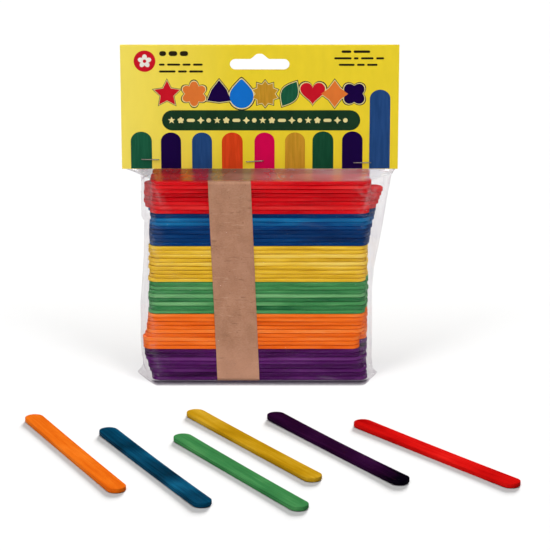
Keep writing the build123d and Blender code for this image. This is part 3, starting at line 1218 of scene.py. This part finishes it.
def flat_course(section, half_width):
    """Where each point of a section lies across the film where it is pressed flat."""
    lengths = [0.0]
    for first, second in zip(section, section[1:]):
        lengths.append(lengths[-1] + hypot(second[0] - first[0], second[1] - first[1]))
    return [half_width * (2 * length / lengths[-1] - 1) for length in lengths]


def foot_flare(x, amount, front):
    """How far the film's foot stands out in front, less so towards the bag's sides."""
    return FOOT_FLARE * amount * smooth((FOOT_HALF - abs(x)) / 5) if front else 0.0


def seam_rows(section, front):
    """The rows on the floor, from the end seam to the foot of the wall."""
    rows = []
    for share in SEAM_SHARES:
        row = []
        for (x, y), across in zip(section, flat_course(section, SEAM_HALF)):
            ear = smooth((abs(across) - EAR_START) / (SEAM_HALF - EAR_START))
            ear_end = (LEFT_RIDGE if across < 0 else RIGHT_RIDGE)[0][1]
            seam_x = across * (1 + (ear_end / SEAM_HALF - 1) * ear)
            seam_z = SEAM_LEVEL + EAR_RISE * ear
            out_x = seam_x + (x - seam_x) * share
            out_y = y * share * 0.985 - foot_flare(x, share, front)
            row.append((out_x, out_y, seam_z + (FOOT_LEVEL - seam_z) * smooth(share)))
        rows.append(row)
    return rows


def wall_rows(ends, front):
    """The rows up the stack, closer together near the floor."""
    rows = []
    for step in range(WALL_STEPS + 1):
        z = WALL_START + (WALL_TOP - WALL_START) * (step / WALL_STEPS) ** 1.25
        flare = 1 - smooth(z / FOOT_HEIGHT)
        rows.append([(x, y - foot_flare(x, flare, front), z) for x, y in half_section(ends, z, front)])
    return rows


def neck_rows(section, flat_y):
    """The rows over the shoulder and up between the card's panels."""
    rows = []
    neck = flat_course(section, NECK_HALF_WIDTH)
    for step in range(1, SHOULDER_STEPS + 1):
        row = []
        for place, at in zip(section, neck):
            row.append(part_way((*place, WALL_TOP), (at, flat_y, NECK_START), step / SHOULDER_STEPS))
        rows.append(row)
    for step in range(1, NECK_STEPS + 1):
        rows.append([(at, flat_y, NECK_START + NECK_ABOVE * step / NECK_STEPS) for at in neck])
    return rows


def film_grid(ends, front):
    """The rows of the front or back sheet of film, from the end seam to its top inside the card."""
    rows = seam_rows(half_section(ends, 0.5, front), front) + wall_rows(ends, front)
    flat_y = -NECK_HALF_GAP if front else NECK_HALF_GAP
    return rows + neck_rows(half_section(ends, WALL_TOP, front), flat_y)


def fold_rise(x, z, start_x, start_z, end_x, end_z, width):
    """How high a fold stands at a point, 0 to 1."""
    run_x, run_z = end_x - start_x, end_z - start_z
    share = ((x - start_x) * run_x + (z - start_z) * run_z) / (run_x * run_x + run_z * run_z)
    share = min(1.0, max(0.0, share))
    wander = 0.7 * ripple(z * 0.16, start_x, 3.0)
    apart = hypot(x - start_x - share * run_x - wander, z - start_z - share * run_z) / width
    return exp(-apart * apart) * sin(pi * min(1.0, max(0.0, 0.08 + share * 0.84)))


def layered_painted_shade_at(x, y, z, shoulder):
    """How dark the film is painted where it lies in folded layers: along the front of its foot, under the
    stack's front edge and over its shoulder. Little of it comes from the layers; it is mostly painted shade,
    standing in for the contact shadow at the stack's foot and the shade over its top.
    """
    if y >= 0:
        return 0.0
    foot = smooth((2.1 - z) / 0.6) * (0.06 + 0.92 * smooth(z / 1.15)) * smooth((58.5 - abs(x)) / 3)
    under = 0.35 * smooth((0.6 - z) / 0.2) * smooth((15.3 - abs(y)) / 0.8) * smooth((57 - abs(x)) / 2)
    return max(foot, under, shoulder * (0.3 - 0.2 * smooth((x - 15) / 20)))


def crumple(point):
    """How far the film stands off its smooth course at a point, and how it looks there."""
    x, y, z = point
    side = smooth((abs(x) - 46) / 12)  # towards either side of the bag
    high = smooth((z - 86) / 20)  # near the top of the walls
    low = smooth((16 - z) / 14)  # near the floor
    shoulder = smooth((z - STACK_TOP - 0.1) / 0.7)  # over the stack
    cells = noise.voronoi(Vector((x * 0.16, y * 0.16 + 9, z * 0.085)))[0]
    facets = min(1.0, (cells[1] - cells[0]) * 1.5)
    tall = abs(ripple(x * 0.21, y * 0.21, z * 0.02 + 4.0))
    wide = 0.5 + 0.5 * ripple(x * 0.02, y * 0.05, z * 0.03 + 8.0)
    haze_and_painted_highlight = 0.8 + 0.5 * ripple(x * 0.05, y * 0.3, z * 0.9 + 2.0)
    stand = 0.08 * wide + 0.1 * facets * (0.25 + 0.4 * side)
    stand += side * 0.45 * tall + side * high * 0.3 * facets
    stand += 0.3 * low * side * facets + shoulder * 0.05 * facets
    crease = (1 - facets) ** 5 * (0.02 + 0.14 * side) + 0.01 * side * smooth(wide)
    crease *= 1 - 0.6 * smooth((60 - z) / 20) * smooth((x - 20) / 20)
    crease *= (1 - 0.5 * high * smooth((-x - 20) / 20)) * (1 - 0.5 * low)
    # Painted highlight: over the shoulder the white haze grows towards the right in streaks, standing in for
    # the film's reflections there.
    crease += shoulder * (0.02 + (1.5 * smooth(x / 60 + 0.5) + 1.0 * smooth((x - 22) / 20)) * haze_and_painted_highlight)
    wrinkled = 0.02 + side * (0.1 + (0.1 if x < 0 else 0.4) * high + (0.25 if x < 0 else 0.05) * low)
    wrinkled *= 1 - 0.9 * shoulder
    # Each fold stands the film off, crinkles it and whitens it with a painted highlight along its length.
    for *run, width, strength in FOLDS if y < -10 else ():
        rise = fold_rise(x, z, *run, width)
        stand += 0.3 * width * strength * rise
        crease += 0.8 * strength * rise
        wrinkled += 0.5 * strength * rise
    looks = {
        "crease": min(2.5, crease),
        "sheen": shoulder * (0.75 + 0.35 * tall) * (1 - 0.45 * smooth(x / 70 + 0.2)),
        "wrinkled": min(1.0, wrinkled),
        "layered_painted_shade": layered_painted_shade_at(x, y, z, shoulder),
    }
    return stand, looks


def build_bag(ends):
    """The clear bag: two sheets of film joined at their sides and bottom, creased over the stack."""
    sheets = zip(film_grid(ends, True), film_grid(ends, False))
    rings = [front_row + back_row[-2:0:-1] for front_row, back_row in sheets]
    points = [point for ring in rings for point in ring]
    faces = ring_faces(len(rings), len(rings[0]))
    piece = make_piece("film_bag", points, faces, [FILM], "pack", 180)
    looks = {"crease": [], "sheen": [], "wrinkled": [], "layered_painted_shade": []}
    moves = []
    for vertex in piece.data.vertices:
        point = vertex.co / MM
        stand, here = crumple(point)
        calm = smooth((CARD_BOTTOM - 0.6 - point.z) / 6)  # flat again where it goes into the card
        off_floor = smooth(point.z / 1.2 + (0 if abs(point.x) < 57 else 0.2))
        moves.append(vertex.normal * stand * calm * off_floor)
        here["crease"] *= 0.4 + 0.6 * calm
        for name, value in here.items():
            looks[name].append(value)
    for vertex, move in zip(piece.data.vertices, moves):
        vertex.co += move * MM
        vertex.co.z = max(vertex.co.z, 0.00003)
    for name, values in looks.items():
        set_attribute(piece, name, values)
    piece.data.update()
    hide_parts("poly_bag")
    return piece


# ---- the whole


def dress_staples():
    """The staples keep their CAD shape and take the wire's material."""
    for side in ("left", "middle", "right"):
        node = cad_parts[f"{side}_staple"]
        for place in node.material_slots:
            place.material = WIRE
        PACK_PIECES.objects.link(node)


stage = bpy.context.scene
set_view(stage)
set_sky(stage)
set_suns(stage)
set_floor(stage)
stack_ends = build_stack()
build_loose()
build_band()
build_card(CARD_YELLOW)
build_print()
dress_staples()
bag = build_bag(stack_ends)
